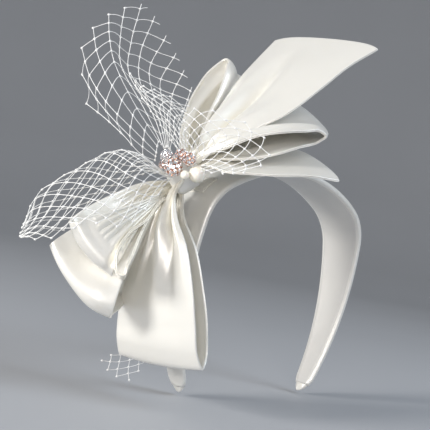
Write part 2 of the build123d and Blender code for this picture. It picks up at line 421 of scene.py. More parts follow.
# Edge of a two-layer ribbon, as (outward, up) in half thicknesses, from its top to its underside.
SEAMED_EDGE = (
    (0.35, 0.85), (0.62, 0.50), (0.35, 0.16), (-SEAM_DEPTH, 0.0),
    (0.35, -0.16), (0.62, -0.50), (0.35, -0.85),
)
ROUND_EDGE = ((0.5, 0.87), (0.87, 0.5), (1.0, 0.0), (0.87, -0.5), (0.5, -0.87))


def cloth_piece(name, grid, half, material, edge=SEAMED_EDGE, hollow=None, round_end=False):
    """Closed thick cloth about a grid of points [along][across]."""
    grid = np.array(grid, float)
    half = np.full(len(grid), half)
    hollow = np.zeros(grid.shape[:2]) if hollow is None else hollow
    if round_end:
        onward = unit(grid[-1] - grid[-2])
        grid = np.concatenate([grid, [grid[-1] + onward * 0.6 * half[-1], grid[-1] + onward * half[-1]]])
        half = np.concatenate([half, [half[-1] * 0.8, half[-1] * 0.35]])
        hollow = np.concatenate([hollow, hollow[-1:], hollow[-1:]])
    rows, columns = grid.shape[:2]
    sideways = np.gradient(grid, axis=1)
    normal = unit(np.cross(np.gradient(grid, axis=0), sideways))
    out = unit(sideways)
    thick = half[:, None]
    rims = [
        np.stack([grid[:, end] + sign * (out[:, end] * o + normal[:, end] * u) * thick for o, u in edge], 1)
        for end, sign in ((-1, 1.0), (0, -1.0))
    ]
    lift = normal * thick[:, None]
    ring = np.concatenate([grid + lift, rims[0], (grid - lift)[:, ::-1], rims[1]], axis=1)
    count = ring.shape[1]
    faces = [(a, d, c, b) for a, b, c, d in ring_faces(rows, count)]
    lips = len(edge)
    under = columns + lips + columns - 1
    for base, turn in ((0, 1), ((rows - 1) * count, -1)):
        caps = [(j, j + 1, under - j - 1, under - j) for j in range(columns - 1)]
        caps.append(tuple(range(columns - 1, columns + lips + 1)))
        caps.append(tuple(range(under, count)) + (0,))
        faces += [tuple(base + k for k in cap)[::turn] for cap in caps]
    piece = new_piece(name, ring.reshape(-1, 3), faces, material)
    middle = steps(grid[:, columns // 2])
    across = steps(grid[rows // 2])
    along = np.repeat(middle, count)
    one_row = np.concatenate([across, np.full(lips, across[-1]), across[::-1], np.zeros(lips)])
    wide = np.tile(one_row, rows)
    deep = [hollow, np.repeat(hollow[:, -1:], lips, 1), hollow[:, ::-1], np.repeat(hollow[:, :1], lips, 1)]
    tag_cloth(piece, along, wide, np.concatenate(deep, axis=1).ravel())
    return piece


def loft(name, sections, material):
    """A closed form through rings of the same number of points, capped at both ends."""
    rings = np.array(sections, float)
    rows, count = rings.shape[:2]
    faces = ring_faces(rows, count)
    faces.append(tuple(range(count))[::-1])
    faces.append(tuple((rows - 1) * count + j for j in range(count)))
    return new_piece(name, rings.reshape(-1, 3), faces, material)


# ---- ribbons ----
def pleat_heights(along, across, pleats):
    """Height of a set of pleats. Each is (end, middle, drift, spread, height, reach): end 0 starts
    at the ribbon's first end and 1 at its last, and reach is the share of the length it fades over."""
    total = np.zeros(np.broadcast(along, across).shape)
    for end, middle, drift, spread, height, reach in pleats:
        run = 1.0 - along if end else along
        shape = np.exp(-(((across - middle - drift * run) / spread) ** 2))
        total = total + height * shape * (1.0 - ease((run / reach - 0.25) / 0.75))
    return total


def gather(share, count, seed):
    """Uneven gathers across a ribbon, from -1 in the creases to 1 on the ridges."""
    wander = 0.13 * np.sin(tau * 1.7 * share + seed) + 0.07 * np.sin(tau * 3.1 * share + 2.0 * seed)
    turn = count * share + wander + 0.17 * seed
    ridge = 1.6 * np.abs(np.sin(pi * turn)) ** 0.8 - 0.9
    return 0.45 * np.cos(tau * turn + pi) + 0.55 * ridge


def ribbon(
    name, node, near, far, pleats, middle=None, outward=1, rows=150, columns=72, width=RIBBON_WIDTH,
    gathers=(4, 0.4, 0.0), camber=0.0, end_bow=0.0, swing=None,
):
    """A ribbon between its two rims, through a middle line if one is given. Pleats push it off that
    surface; where the rims run closer than it is wide, gathers (count, fullness, seed) use the rest.
    It stands for the CAD node, if any, and rides on the band, or with a swing stays unattached where it is."""
    rails = [np.array(near, float) + KNOT, np.array(far, float) + KNOT]
    knots = (steps(rails[0]) + steps(rails[1])) / 2.0
    at = np.linspace(0.0, knots[-1], rows)
    left, right = (through(rail, knots, at) for rail in rails)
    share = np.linspace(0.0, 1.0, columns)
    base = left[:, None] * (1.0 - share[:, None]) + right[:, None] * share[:, None]
    if middle is not None:
        sag = through(np.array(middle, float) + KNOT, knots, at) - (left + right) / 2.0
        base = base + sag[:, None] * (4.0 * share * (1.0 - share))[None, :, None]
    if end_bow:
        onward = unit(base[-1] - base[-4])
        swell = 1.0 - np.abs(2.0 * share - 1.0) ** 6
        grow = ease((np.linspace(0.0, 1.0, rows) - 0.6) / 0.4)
        base = base + onward[None] * (grow[:, None] * swell[None] * end_bow)[..., None]
    normal = outward * unit(np.cross(np.gradient(base, axis=0), np.gradient(base, axis=1)))
    along = np.linspace(0.0, 1.0, rows)[:, None]
    across = share[None, :]
    chord = np.linalg.norm(right - left, axis=1)[:, None]
    room = np.clip(chord / PLEAT_ROOM, 0.15, 1.0)
    height = pleat_heights(along, across, pleats) * room
    height = height + camber * 4.0 * across * (1.0 - across) * ease(chord / width)
    folded = np.linalg.norm(np.diff(base + normal * height[..., None], axis=1), axis=2).sum(axis=1)[:, None]
    count, fullness, seed = gathers
    excess = np.clip(width * fullness / folded, 1.0, 6.0)
    size = chord * np.sqrt(2.0 * (excess**2 - 1.0)) / (tau * count)
    waver = across + 0.02 * np.sin(9.0 * along)
    height = height + np.minimum(size, GATHER_LIMIT) * gather(waver, count, seed)
    # painted shade: hollow marks deep gathers and narrow loops, where the satin is given its creamy shade
    # colour
    hollow = np.clip(-height / GATHER_LIMIT, 0.0, 1.0) * np.exp(-chord / SHADE_REACH)
    hollow = hollow + 0.5 * np.exp(-2.0 * chord / SHADE_REACH)
    shaped = base + normal * height[..., None]
    piece = cloth_piece(name, shaped, RIBBON_HALF, bow_satin, hollow=hollow, round_end=end_bow != 0.0)
    if node:
        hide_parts(node)
    if swing:
        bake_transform(piece)
    else:
        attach(piece, "band")


def front_loop():
    """The long loop that hangs in front: two soft ridges from the knot, then a flat face."""
    near = [
        (-7, -8, -5), (-14, -12, -14), (-16, -19, -26), (-14, -29, -41), (-11, -36, -61), (-7, -40, -83),
        (-3, -41.5, -99), (2, -42, -106), (6, -39, -102), (5, -36, -83), (2, -31, -64), (-2, -23, -42),
        (-5, -11, -25), (-4, -4, -10),
    ]
    far = [
        (-7, -3, -7), (-14, -6, -14), (-19, -2, -27), (-21, 3, -48), (-22, 9, -71), (-20.5, 11, -92),
        (-19, 10, -103), (-15, 11, -110), (-11, 14, -106), (-12, 17, -93), (-13, 16, -72), (-10, 11, -49),
        (-8, 6, -27), (-4, 1, -10),
    ]
    pleats = [
        (0, 0.52, -0.05, 0.10, 4.5, 0.40),
        (0, 0.28, 0.04, 0.07, -4.0, 0.40),
        (0, 0.09, 0.0, 0.06, 2.0, 0.40),
        (0, 0.70, 0.02, 0.05, -3.0, 0.34),
        (0, 0.80, 0.04, 0.035, 2.2, 0.34),
        (0, 0.90, 0.02, 0.04, -2.2, 0.32),
        (1, 0.5, 0.0, 0.2, 2.5, 0.3),
    ]
    ribbon(
        "front_loop_satin", "front_loop", near, far, pleats, outward=-1, camber=2.0, gathers=(6, 0.4, 0.0),
        swing=FRONT_SWING,
    )


def upper_back_loop():
    """The tall loop that stands up behind, open toward the viewer."""
    near = [
        (0, 1, 7), (0, 3, 11), (4, 14, 19), (12, 26, 34), (24, 35, 55), (35, 36, 72), (41, 33, 79),
        (39, 27, 77), (32, 19, 71), (24, 13, 54), (16, 10, 38), (8, 5, 21), (1, 0, 13), (0, 0, 7),
    ]
    far = [
        (3, 3, 6), (5, 5, 9), (14, 8, 14), (33, 13, 27), (54, 19, 39), (66, 20, 47), (70, 20, 50),
        (69, 17, 48), (65, 14, 44), (56, 14, 36), (40, 7, 26), (21, 2, 17), (8, 0, 10), (4, 0, 6),
    ]
    pleats = [
        (0, 0.3, 0.1, 0.12, -2.0, 0.35),
        (0, 0.7, 0.0, 0.14, 2.0, 0.40),
        (1, 0.20, 0.0, 0.10, -1.0, 0.30),
        (1, 0.55, 0.0, 0.12, 1.0, 0.30),
    ]
    ribbon("upper_back_loop_satin", "upper_back_loop", near, far, pleats, camber=1.0, gathers=(4, 0.8, 1.0))


def right_upper_loop():
    """The loop that opens toward the wearer's face, pleated at the knot, with a rolled top edge."""
    near = [
        (0, -8, 5), (0, -15, 10), (5, -30, 18), (14, -41, 26), (26, -50, 31), (37, -54, 34), (46, -56, 36),
        (50, -57, 34), (49, -54, 31), (38, -50, 25), (27, -46, 19), (18, -37, 14), (10, -26, 11),
        (5, -15, 9), (3, -7, 4),
    ]
    far = [
        (3, 0, 6), (7, -2, 13), (23, -2, 25), (43, -1, 41), (60, -4, 53), (73, -8, 57), (84, -17, 49),
        (89, -19, 44), (86, -15, 44), (74, -8, 52), (60, -4, 49), (43, -4, 38), (26, -4, 23),
        (11, -5, 11), (5, -1, 5),
    ]
    pleats = [
        (0, 0.10, 0.10, 0.05, 2.6, 0.55),
        (0, 0.24, 0.12, 0.06, -2.4, 0.40),
        (0, 0.42, 0.10, 0.08, 3.2, 0.42),
        (0, 0.62, 0.05, 0.07, -2.6, 0.36),
        (0, 0.82, 0.0, 0.09, 2.6, 0.40),
        (1, 0.22, 0.0, 0.08, -2.4, 0.40),
        (1, 0.45, 0.0, 0.08, 2.2, 0.35),
        (1, 0.70, 0.0, 0.10, -2.0, 0.35),
    ]
    ribbon("right_upper_loop_satin", "right_upper_loop", near, far, pleats, rows=170, camber=1.5)


def left_upper_loop():
    """The front one of the two loops on the left: a flat pouch, open along its top."""
    near = [
        (-8, 0, -10), (-16, -4, -12), (-28, -9, -19), (-41, -10, -25), (-53, -9, -31), (-63, -6, -36),
        (-69, -4, -39), (-70, -2, -39), (-68, 1, -38), (-61, 2, -32), (-45, 2, -21), (-28, 3, -12),
        (-15, 3, -8), (-7, 2, -7),
    ]
    far = [
        (-9, -2, -12), (-16, -5, -15), (-26, -11, -25), (-35, -13, -34), (-41, -15, -44), (-45, -16, -53),
        (-48, -15, -61), (-47, -13, -63), (-45, -10, -62), (-42, -9, -54), (-35, -7, -42), (-26, -5, -29),
        (-16, -2, -17), (-8, 0, -11),
    ]
    middle = [
        (-9, -1, -11), (-16, -5, -14), (-28, -10, -22), (-39, -12, -30), (-48, -12, -38), (-56, -11, -47),
        (-60, -9, -53), (-61, -6, -53), (-58, -4, -51), (-52, -3, -43), (-40, -3, -32), (-27, -1, -21),
        (-16, 0, -13), (-8, 1, -9),
    ]
    pleats = [
        (0, 0.90, 0.0, 0.08, -1.4, 0.70),
        (0, 0.74, 0.0, 0.06, 1.2, 0.42),
        (0, 0.55, 0.0, 0.08, -0.8, 0.30),
    ]
    ribbon(
        "left_upper_loop_satin", None, near, far, pleats, middle, rows=170, width=LEFT_PLY_WIDTH,
        gathers=(6, 0.64, 2.0),
    )


def left_lower_loop():
    """The larger loop behind it, whose end shows below."""
    near = [
        (-4, 7, -8), (-11, 8, -12), (-19, 10, -19), (-33, 15, -28), (-47, 18, -37), (-59, 20, -47),
        (-65, 21, -53), (-65, 22, -54), (-61, 24, -53), (-50, 29, -47), (-33, 29, -34), (-16, 22, -20),
        (-8, 13, -12), (-3, 8, -8),
    ]
    far = [
        (-7, 1, -13), (-13, -1, -18), (-22, -5, -29), (-28, -7, -43), (-33, -9, -55), (-37, -9, -66),
        (-40, -9, -83), (-39, -7, -86), (-36, -4, -85), (-25, 5, -82), (-12, 16, -71), (-6, 16, -54),
        (-4, 12, -35), (-4, 6, -18),
    ]
    middle = [
        (-6, 4, -10), (-12, 3, -15), (-21, 2, -24), (-32, 2, -36), (-41, 3, -48), (-51, 4, -61),
        (-56, 3, -74), (-56, 5, -75), (-52, 9, -74), (-40, 16, -68), (-25, 21, -55), (-13, 19, -38),
        (-6, 13, -23), (-3, 7, -13),
    ]
    pleats = [
        (0, 0.74, 0.0, 0.16, 0.9, 0.9),
        (0, 0.40, 0.0, 0.16, -0.8, 0.7),
    ]
    ribbon(
        "left_lower_loop_satin", "left_loop", near, far, pleats, middle, rows=170, gathers=(6, 0.62, 0.5)
    )


def left_loop_pleat():
    """The upper loop's lower edge, folded into a narrow curl in front of both."""
    near = [
        (-20, -9, -17), (-25, -12, -22), (-33, -16, -31), (-42, -16, -39), (-48, -17, -48), (-50, -19, -55),
        (-49, -22, -61), (-47, -24, -61), (-46, -24, -57), (-42, -22, -49), (-37, -18, -40), (-30, -14, -29),
        (-23, -11, -21), (-18, -9, -17),
    ]
    far = [
        (-18, -7, -18), (-22, -9, -23), (-30, -11, -32), (-37, -9, -40), (-42, -9, -49), (-44, -10, -57),
        (-43, -13, -63), (-41, -15, -64), (-39, -15, -59), (-36, -14, -51), (-31, -11, -41), (-25, -8, -30),
        (-20, -7, -21), (-17, -6, -17),
    ]
    ribbon(
        "left_loop_inner_pleat", None, near, far, [], rows=110, columns=24, width=CURL_WIDTH,
        gathers=(2, 0.0, 0.0),
    )


def upper_tail():
    """The long slanted end that stands up to the right, with a soft valley from the knot."""
    near = [
        (1, -6, 5), (3, -13, 11), (5, -24, 19), (15, -33, 29), (29, -44, 42), (44, -52, 60), (58, -58, 77),
        (71, -65, 90),
    ]
    far = [
        (1, 1, 6), (4, -2, 14), (11, 2, 25), (19, 5, 39), (28, 8, 52), (39, 11, 67), (51, 12, 82),
        (62, 12, 96),
    ]
    pleats = [
        (0, 0.62, 0.06, 0.10, -9.0, 1.0),
        (0, 0.84, 0.0, 0.08, 4.0, 0.9),
        (0, 0.26, 0.02, 0.10, 3.5, 0.60),
        (0, 0.04, 0.0, 0.06, -2.0, 0.40),
        (0, 0.68, 0.0, 0.06, 1.6, 0.35),
    ]
    ribbon(
        "upper_tail_satin", "upper_tail", near, far, pleats, rows=130, columns=64, camber=2.0, end_bow=3.4,
        swing=TAIL_SWING,
    )


def right_lower_tail():
    """The short slanted end that lies over the crown."""
    near = [
        (1, -8, 1), (1, -19, 4), (4, -29, 3), (11, -42, 4), (23, -53, 6), (38, -62, 9), (55, -68, 10),
    ]
    far = [
        (3, -1, 3), (6, -8, 8), (18, -9, 11), (32, -9, 15), (46, -9, 20), (60, -9, 25), (74, -10, 29),
    ]
    pleats = [
        (0, 0.15, 0.05, 0.06, 1.8, 0.6),
        (0, 0.32, 0.05, 0.07, -1.8, 0.5),
        (0, 0.52, 0.0, 0.09, 2.4, 0.55),
        (0, 0.78, 0.0, 0.09, -1.8, 0.5),
    ]
    ribbon(
        "right_lower_tail_satin", "right_lower_tail", near, far, pleats, rows=110, camber=2.0, end_bow=2.0
    )


# ---- band ----
BAND_ARCS = ((CROWN_RADIUS, CROWN_TURN), (SHOULDER_RADIUS, SHOULDER_TURN), (ARM_RADIUS, ARM_TURN))
BAND_REACH = sum(radius * radians(turn) for radius, turn in BAND_ARCS)
HINGE_REACH = BAND_REACH - ARM_RADIUS * radians(ARM_TURN)
CROWN_REACH = CROWN_RADIUS * radians(CROWN_TURN)
PAD_START = CROWN_REACH + SHOULDER_RADIUS * radians(3.0)
SEAM_REACH = 22.0 - CROWN_REACH      # where the two halves of the cover meet, under the lower tail
BAND_STEP = 1.6                      # spacing of the sections along the band


def band_spot(reach):
    """Outer-face point and outward direction at a signed length from the crown, + toward +X."""
    x, z, heading, left = 0.0, BAND_THICKNESS, 0.0, abs(reach)
    for radius, turn in BAND_ARCS:
        angle = left / radius if radius == ARM_RADIUS else min(left / radius, radians(turn))
        x += radius * (sin(heading + angle) - sin(heading))
        z -= radius * (cos(heading) - cos(heading + angle))
        heading += angle
        left -= angle * radius
        if left < 1e-9:
            break
    side = 1.0 if reach >= 0 else -1.0
    return np.array((side * x, 0.0, z)), np.array((side * sin(heading), 0.0, cos(heading)))


HINGE_SPOT = band_spot(HINGE_REACH)[0]
TIP_SPOT = band_spot(BAND_REACH)[0]


def band_half_width(z):
    """Half the band's width at a height."""
    depths = (8.0, -HINGE_SPOT[2], -TIP_SPOT[2] - 4.0, -TIP_SPOT[2] + 3.0)
    halves = (CROWN_WIDTH / 2, HINGE_WIDTH / 2, TIP_WIDTH / 2, TIP_WIDTH / 2 - 3.0)
    return float(np.interp(-z, depths, halves))


def cover_section(half_width):
    """The satin's path round the core, as (across, inward): turn-in, edge, face, edge, turn-in."""
    edge_radius = 1.45            # bend round the core's edge
    crown = 0.7                   # how far the middle of the face stands out
    inset = 0.45                  # how far the sides of the face lie inside the band's outer face
    turned_in = 5.0               # width of cloth glued inside
    shoulder = half_width - edge_radius - 0.1
    middle = inset + edge_radius
    turn_in = [(w, middle + edge_radius) for w in np.linspace(max(shoulder - turned_in, 0.5), shoulder, 4)]
    bend = [
        (shoulder + edge_radius * cos(angle), middle + edge_radius * sin(angle))
        for angle in np.linspace(pi / 2, -pi / 2, 9)[1:-1]
    ]
    half = turn_in + bend
    face = [
        (w, middle - edge_radius - crown * (1 - (w / shoulder) ** 2))
        for w in np.linspace(shoulder, -shoulder, 25)
    ]
    return half + face + [(-w, d) for w, d in reversed(half)]


def sweep_band(first, last, section):
    """Grid of the section carried along the band between two signed lengths."""
    rows = []
    for reach in np.linspace(first, last, int(abs(last - first) / BAND_STEP)):
        spot, out = band_spot(reach)
        path = section(band_half_width(spot[2]))
        rows.append([spot - out * inward + np.array((0.0, across, 0.0)) for across, inward in path])
    return np.array(rows)


def lining_section(half_width):
    """The lining strip, slightly bowed inward."""
    reach = half_width - 2.6
    return [(w, 3.72 + 0.12 * (1 - (w / reach) ** 2)) for w in np.linspace(reach, -reach, 15)]


def band():
    """Satin cover and lining in two halves that meet under the bow."""
    for side, last in (("left", -BAND_REACH), ("right", BAND_REACH)):
        cover_grid = sweep_band(SEAM_REACH, last, cover_section)
        cover = cloth_piece(f"band_cover_{side}", cover_grid, COVER_HALF, band_satin, ROUND_EDGE)
        lining_grid = sweep_band(SEAM_REACH, last, lining_section)
        lining = cloth_piece(f"band_lining_{side}", lining_grid, LINING_HALF, lining_satin, ROUND_EDGE)
        for piece in (cover, lining):
            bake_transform(piece)
        if side == "left":
            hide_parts("cover_left_arm")
            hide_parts("lining_left_arm")
        else:
            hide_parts("cover_right_arm", "cover_crown")
            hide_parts("lining_right_arm", "lining_crown")


def tip_folds():
    """The satin pinched and folded over at each end of the band, with two uneven points."""
    # Reach beyond the tip, shares of the width and the thickness, and shift sideways.
    shape = (
        (-2.0, 1.02, 1.0, 0.0), (1.0, 0.95, 0.92, 0.1), (3.0, 0.74, 0.7, 0.4), (4.6, 0.46, 0.5, 0.9),
        (5.6, 0.16, 0.3, 1.3),
    )
    half_thickness = BAND_THICKNESS / 2
    for side, sign in (("left", -1.0), ("right", 1.0)):
        rings = []
        for beyond, wide, thick, shift in shape:
            spot, out = band_spot(sign * (BAND_REACH + beyond))
            half_width = (TIP_WIDTH / 2 - 2.4) * wide
            centre = spot - out * half_thickness + np.array((0.0, shift, 0.0))
            ring = []
            for turn in np.linspace(0.0, tau, 24, endpoint=False):
                flat = abs(cos(turn)) ** 0.55 * (1.0 if cos(turn) >= 0 else -1.0)
                notch = 1.0 - 0.35 * np.exp(-(cos(turn) / 0.25) ** 2) * (beyond > 2.5)
                across = np.array((0.0, half_width * flat, 0.0))
                ring.append(centre + across + out * half_thickness * thick * notch * sin(turn))
            rings.append(ring)
        piece = loft(f"tip_fold_satin_{side}", rings, band_satin)
        stand_in(piece, f"{side}_arm", f"tip_fold_{side}")


# ---- knot ----
hub_z = unit(HUB_AXIS)
hub_x = unit(BOW_AXIS - hub_z * (BOW_AXIS @ hub_z))
hub_y = np.cross(hub_z, hub_x)


def rounded(turn, power):
    """Cosine and sine squared off toward a rounded rectangle."""
    c, s = cos(turn), sin(turn)
    return abs(c) ** power * (1 if c >= 0 else -1), abs(s) ** power * (1 if s >= 0 else -1)


def bell(x, middle, spread):
    """A bell-shaped bump of height 1."""
    return np.exp(-(((x - middle) / spread) ** 2))


def knot_wrap():
    """The satin strip round the middle of the bow: flat in front, with a soft roll along each side."""
    turns = np.linspace(0.0, tau, 97)
    grid = []
    for turn in turns:
        c, s = rounded(turn, 0.62)
        facing = ease((-cos(turn) + 0.5) / 1.5)
        low = ease(s)
        row = []
        for share in np.linspace(-1.0, 1.0, 41):
            roll = 0.5 * bell(share, 0.8, 0.15) + 0.2 * bell(share, -0.75, 0.16)
            swell = 1.4 + 0.8 * (1.0 - share**4) + roll * facing
            spot = KNOT + hub_z * c * (HUB_HALF + swell - 0.8)
            spot = spot + hub_y * s * (WRAP_RADIUS + swell - 1.5 * low)
            row.append(spot + hub_x * (share * (5.0 + 3.5 * facing - 1.5 * low) - 5.0 * facing))
        grid.append(row)
    piece = cloth_piece("knot_wrap_satin", grid, WRAP_HALF, bow_satin, ROUND_EDGE)
    stand_in(piece, "band", "knot_wrap")


def bow_gather():
    """The ribbons' gathered middles: a drum ribbed by their folds."""
    lower = ((-1.0, 0.0), (-1.0, 0.45), (-0.97, 0.8), (-0.85, 0.96), (-0.4, 1.0))
    rings = []
    for height, width in lower + tuple((-h, w) for h, w in reversed(lower)):
        ring = []
        for turn in np.linspace(0.0, tau, 144, endpoint=False):
            rib = 1.0 + 0.045 * cos(17.0 * turn + 1.5 * height) * width
            reach = max(WRAP_RADIUS * width * rib, 0.05)
            ring.append(KNOT + hub_z * height * HUB_HALF + (hub_x * cos(turn) + hub_y * sin(turn)) * reach)
        rings.append(ring)
    piece = loft("bow_gather_satin", rings, bow_satin)
    stand_in(piece, "band", "bow_gather")


def bow_base():
    """The felt pad under the bow, curved to the shoulder."""
    across = np.linspace(PAD_MIDDLE + PAD_WIDTH / 2, PAD_MIDDLE - PAD_WIDTH / 2, 20)
    grid = []
    for reach in np.linspace(-PAD_START, -PAD_START - PAD_LENGTH, 24):
        spot, out = band_spot(reach)
        grid.append([spot + out * 0.9 + np.array((0.0, w, 0.0)) for w in across])
    piece = cloth_piece("bow_base_felt", grid, FELT_HALF, felt, ROUND_EDGE)
    stand_in(piece, "band", "bow_base")


def tack_stitches():
    """Hand stitches over the pad's long edges, into the satin."""
    path = [(-1.8, 1.0), (-1.4, 1.7), (-0.2, 1.7), (0.5, 1.2), (0.8, 0.2), (1.0, -0.6)]
    vertices, faces = [], []
    for share in (0.2, 0.5, 0.8):
        spot, out = band_spot(-PAD_START - PAD_LENGTH * share)
        for side in (-1.0, 1.0):
            across = [PAD_MIDDLE + side * (PAD_WIDTH / 2 + w) for w, h in path]
            line = [spot + out * h + np.array((0.0, y, 0.0)) for y, (w, h) in zip(across, path)]
            add_rings(vertices, faces, tube_rings(line, STITCH_RADIUS))
    piece = new_piece("tack_stitch_thread", vertices, faces, sewing_thread)
    stand_in(piece, "band", "tack_stitches")


def gather_thread():
    """The turns of thread that bind the bow's middle, under the wrap."""
    vertices, faces, line = [], [], []
    for turn in np.linspace(0.0, BINDING_TURNS * tau, 60 * BINDING_TURNS + 1):
        c, s = rounded(turn, 0.62)
        lean = (turn / tau - BINDING_TURNS / 2) * 1.4
        line.append(KNOT + hub_z * c * (HUB_HALF + 0.2) + hub_y * s * (WRAP_RADIUS + 0.2) + hub_x * lean)
    add_rings(vertices, faces, tube_rings(line, BINDING_RADIUS))
    piece = new_piece("gather_thread_turns", vertices, faces, sewing_thread)
    stand_in(piece, "band", "gather_thread")


# ---- net ----
def tube_rings(line, radii, sides=6):
    """Rings of points round a line, of one radius or of one for each point."""
    line = np.array(line)
    tangent = unit(np.gradient(line, axis=0))
    guide = np.array((0.0, 0.0, 1.0))
    angles = np.linspace(0, tau, sides, endpoint=False)
    rings = []
    for spot, along, radius in zip(line, tangent, np.broadcast_to(radii, len(line))):
        first = np.cross(along, guide)
        if np.linalg.norm(first) < 0.1:
            first = np.cross(along, np.array((1.0, 0.0, 0.0)))
        first = unit(first)
        second = np.cross(along, first)
        guide = np.cross(first, along)
        rings.append([spot + (first * cos(a) + second * sin(a)) * radius for a in angles])
    return np.array(rings)


def add_rings(vertices, faces, rings):
    """Adds a capped tube to the lists of a mesh."""
    start, (rows, count) = len(vertices), rings.shape[:2]
    vertices.extend(rings.reshape(-1, 3).tolist())
    faces.extend(ring_faces(rows, count, start))
    faces.append(tuple(start + j for j in range(count))[::-1])
    faces.append(tuple(start + (rows - 1) * count + j for j in range(count)))


def add_ball(vertices, faces, centre, axis, size, stretch):
    """Adds a small ball, drawn out along an axis."""
    levels = np.linspace(-0.95, 0.95, 6)
    line = [centre + axis * size * stretch * h for h in levels]
    add_rings(vertices, faces, tube_rings(line, size * np.sqrt(1.0 - levels**2)))


CELL_STEPS = 6                # points along a thread from one lattice line to the next


def net_piece(name, surface, threads, replaced):
    """Threads over a surface, each a list of lattice places, thicker and knotted where they cross."""
    vertices, faces, crossings = [], [], {}
    for thread in threads:
        lattice = np.array(thread, float)
        ticks = np.arange(len(lattice))
        fine = np.linspace(0, len(lattice) - 1, (len(lattice) - 1) * CELL_STEPS + 1)
        route = np.stack([np.interp(fine, ticks, lattice[:, k]) for k in (0, 1)], axis=1)
        line = surface(route)
        heading = unit(np.gradient(line, axis=0))
        gap = np.abs(fine - np.round(fine))
        whole = [all(abs(c - round(c)) < 1e-6 for c in lattice[int(round(f))]) for f in fine]
        radii = THREAD_RADIUS * (1.0 + 0.9 * np.exp(-((gap / 0.09) ** 2)) * np.array(whole))
        add_rings(vertices, faces, tube_rings(line, radii))
        for k, (a, b) in enumerate(thread):
            if abs(a - round(a)) < 1e-6 and abs(b - round(b)) < 1e-6:
                crossings[(round(a), round(b))] = (line[k * CELL_STEPS], heading[k * CELL_STEPS])
    for spot, axis in crossings.values():
        add_ball(vertices, faces, spot, axis, NET_KNOT_RADIUS, 1.35)
    stand_in(new_piece(name, vertices, faces, net_thread), "band", replaced)


def surface_through(rows, row_knots):
    """A smooth surface through rows of offsets from the knot: place (0..1 along, row value) to point."""
    rows = np.array(rows, float)
    columns = np.linspace(0.0, 1.0, rows.shape[1])

    def at(along, across):
        """Points at shares of the length and at row values."""
        down = through(np.eye(len(columns)), columns, along)
        over = through(np.eye(len(row_knots)), np.array(row_knots, float), across)
        return np.einsum("na,nb,abk->nk", over, down, rows) + KNOT

    return at


def diagonal_threads(cells_along, cells_across):
    """Both families of diagonal threads of a net, in half-cell steps."""
    long, wide = 2 * cells_along, 2 * cells_across
    rising = [[(c + j, j) for j in range(wide + 1)] for c in range(-wide, long + 1, 2)]
    falling = [[(c - j, j) for j in range(wide + 1)] for c in range(0, long + wide + 1, 2)]
    threads = [[(a, b) for a, b in thread if 0 <= a <= long] for thread in rising + falling]
    return [thread for thread in threads if len(thread) > 1]


def gathered_net(name, rows, cells_along, cells_across, replaced):
    """A net fanned from the knot, with diamond cells."""
    shape = surface_through(rows, np.linspace(0.0, 1.0, len(rows)))

    def surface(route):
        return shape(route[:, 0] / (2.0 * cells_along), route[:, 1] / (2.0 * cells_across))

    net_piece(name, surface, diagonal_threads(cells_along, cells_across), replaced)


def upper_veil():
    """The tall puff: one edge is the net's own zigzag edge, the other is cut, with short ends."""
    rows = [
        [(-52, 33, 27), (-48, 18, 20), (-42, 6, 12), (-32, 1, 4), (-20, -2, 2)],
        [(-58, 38, 57), (-59, 22, 40), (-54, 7, 26), (-39, 0, 15), (-21, -4, 4)],
        [(-43, 41, 81), (-49, 26, 65), (-49, 15, 49), (-38, 5, 29), (-21, -4, 9)],
        [(-23, 41, 91), (-27, 38, 70), (-29, 31, 50), (-19, 15, 29), (-16, 0, 7)],
        [(-4, 32, 72), (-8, 36, 56), (-8, 29, 42), (-8, 18, 27), (-12, 4, 8)],
        [(9, 21, 50), (8, 22, 41), (4, 21, 30), (-1, 17, 19), (-9, 7, 8)],
    ]
    low, high, top = -5, 6, 11         # the lattice's first and last column, and its last level
    shape = surface_through(rows, (low, -3.0, -1.0, 1.0, 3.5, high))

    def first(column):
        """The level at which the net starts in a column."""
        return np.maximum(np.maximum(-column, column - 1.0), 0.0)

    def surface(route):
        start = first(np.clip(route[:, 1], low, high))
        return shape((route[:, 0] - start) / (top + 0.5 - start), route[:, 1])

    threads = []
    for column in range(low, high + 1):
        start = int(first(column))
        thread = [(level, column) for level in range(start, top + 1)]
        threads.append([(start - THREAD_STUB, column)] + thread if column >= 1 else thread)
    for level in range(top + 1):
        last = min(level + 1, high)
        thread = [(level, column) for column in range(max(-level, low), last + 1)]
        threads.append(thread + [(level, last + THREAD_STUB)] if last < high else thread)
    threads = [thread for thread in threads if len(thread) > 1]
    net_piece("veil_upper_puff_net", surface, threads, "veil_upper_puff")


def upper_veil_fold():
    """The part of the tall puff that doubles back on itself, crumpled toward the knot."""
    rows = [
        [(-6, 1, 9), (-14, 13, 24), (-21, 26, 38), (-24, 38, 52)],
        [(-9, -5, 11), (-18, 3, 26), (-24, 14, 37), (-25, 24, 45)],
        [(-8, -6, 13), (-14, -1, 26), (-16, 7, 36), (-17, 16, 43)],
        [(-3, -2, 16), (-4, 2, 25), (-3, 7, 32), (1, 10, 39)],
    ]
    gathered_net("veil_upper_fold_net", rows, 6, 5, "veil_upper_puff")


